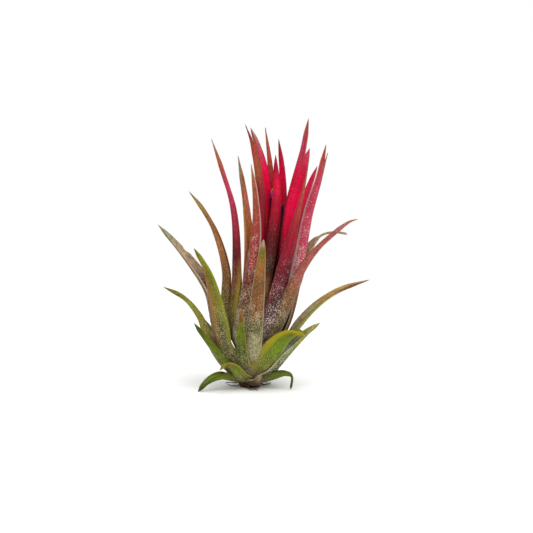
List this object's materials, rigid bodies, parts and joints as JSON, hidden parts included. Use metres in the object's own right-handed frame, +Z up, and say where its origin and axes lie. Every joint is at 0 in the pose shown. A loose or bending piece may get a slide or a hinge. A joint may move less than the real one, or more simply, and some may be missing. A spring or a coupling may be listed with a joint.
{
  "type": "ionantha air plant",
  "caption": "Small stemless air plant: a rosette of narrow channelled leaves, green at the base and crimson in the heart, with violet flowers just showing.",
  "frame": {"origin": "centre of the stem stub's flat foot, on the surface that the plant rests on", "axes": "+Z up, +X towards the side that the rosette leans to by 6 degrees, +Y away from the side the picture shows"},
  "size_m": [0.0405, 0.0293, 0.0508],
  "materials": {
    "crimson_leaf": "satin, crimson channel, rosy brown outer face",
    "bronze_leaf": "matt, bronze red over an olive base, pale scurf",
    "olive_leaf": "matt, olive to gold, pale scurf",
    "green_leaf": "matt, fresh green, silvery scurf",
    "dry_leaf": "matt, dried beige brown",
    "stem": "rough, brown and fibrous",
    "petal": "soft violet"
  },
  "bodies": {
    "root": {"stem_stub": "stem", "flower_1": "petal", "flower_2": "petal", "heart_leaf_01": "crimson_leaf", "heart_leaf_02": "crimson_leaf", "heart_leaf_03": "crimson_leaf", "heart_leaf_04": "crimson_leaf", "heart_leaf_05": "crimson_leaf", "heart_leaf_06": "crimson_leaf", "heart_leaf_07": "crimson_leaf", "heart_leaf_08": "crimson_leaf", "heart_leaf_09": "crimson_leaf", "heart_leaf_10": "crimson_leaf", "heart_leaf_11": "crimson_leaf", "upright_leaf_01": "bronze_leaf", "upright_leaf_02": "bronze_leaf", "upright_leaf_03": "bronze_leaf", "upright_leaf_04": "bronze_leaf", "upright_leaf_05": "bronze_leaf", "upright_leaf_06": "bronze_leaf", "spreading_leaf_01": "olive_leaf", "spreading_leaf_02": "olive_leaf", "spreading_leaf_03": "olive_leaf", "spreading_leaf_04": "olive_leaf", "spreading_leaf_05": "olive_leaf", "spreading_leaf_06": "olive_leaf", "spreading_leaf_07": "olive_leaf", "spreading_leaf_08": "olive_leaf", "spreading_leaf_09": "olive_leaf", "spreading_leaf_10": "olive_leaf", "dry_leaf_01": "dry_leaf", "dry_leaf_02": "dry_leaf", "dry_leaf_03": "dry_leaf", "dry_leaf_04": "dry_leaf", "dry_leaf_05": "dry_leaf", "basal_leaf_01": "green_leaf", "basal_leaf_02": "green_leaf", "basal_leaf_03": "green_leaf", "basal_leaf_04": "green_leaf", "basal_leaf_05": "green_leaf", "basal_leaf_06": "green_leaf", "basal_leaf_07": "green_leaf", "basal_leaf_08": "green_leaf", "basal_leaf_09": "green_leaf", "basal_leaf_10": "green_leaf", "foot_leaf_01": "green_leaf", "foot_leaf_02": "green_leaf", "foot_leaf_03": "green_leaf"}
  },
  "joints": []
}
